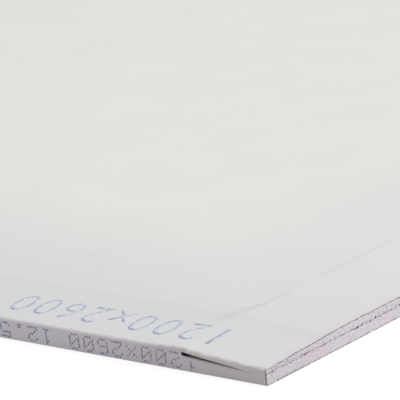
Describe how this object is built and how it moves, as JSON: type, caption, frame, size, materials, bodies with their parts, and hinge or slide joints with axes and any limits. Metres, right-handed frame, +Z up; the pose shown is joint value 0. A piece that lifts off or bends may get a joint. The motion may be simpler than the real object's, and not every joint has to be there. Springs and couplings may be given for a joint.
{
  "type": "plasterboard sheet with tapered edges",
  "caption": "Flat gypsum plasterboard sheet with a wrapped face paper, a back paper, tapered long edges, and sawn short ends whose face layer is bent down over a glued wedge kerf.",
  "frame": {"origin": "under the middle of the sheet, at the underside of the back paper", "axes": "+X along the sheet's length, +Y across its width, +Z up out of the finish face"},
  "size_m": [2.6, 1.2, 0.0125],
  "materials": {
    "gypsum": "matte, fine cast gypsum with pores, sawn at the ends",
    "face_paper": "smooth matte off-white board liner",
    "back_paper": "matte unbleached grey-brown board liner"
  },
  "bodies": {
    "root": {"gypsum_core": "gypsum", "face_paper": "face_paper", "back_paper": "back_paper"}
  },
  "joints": []
}
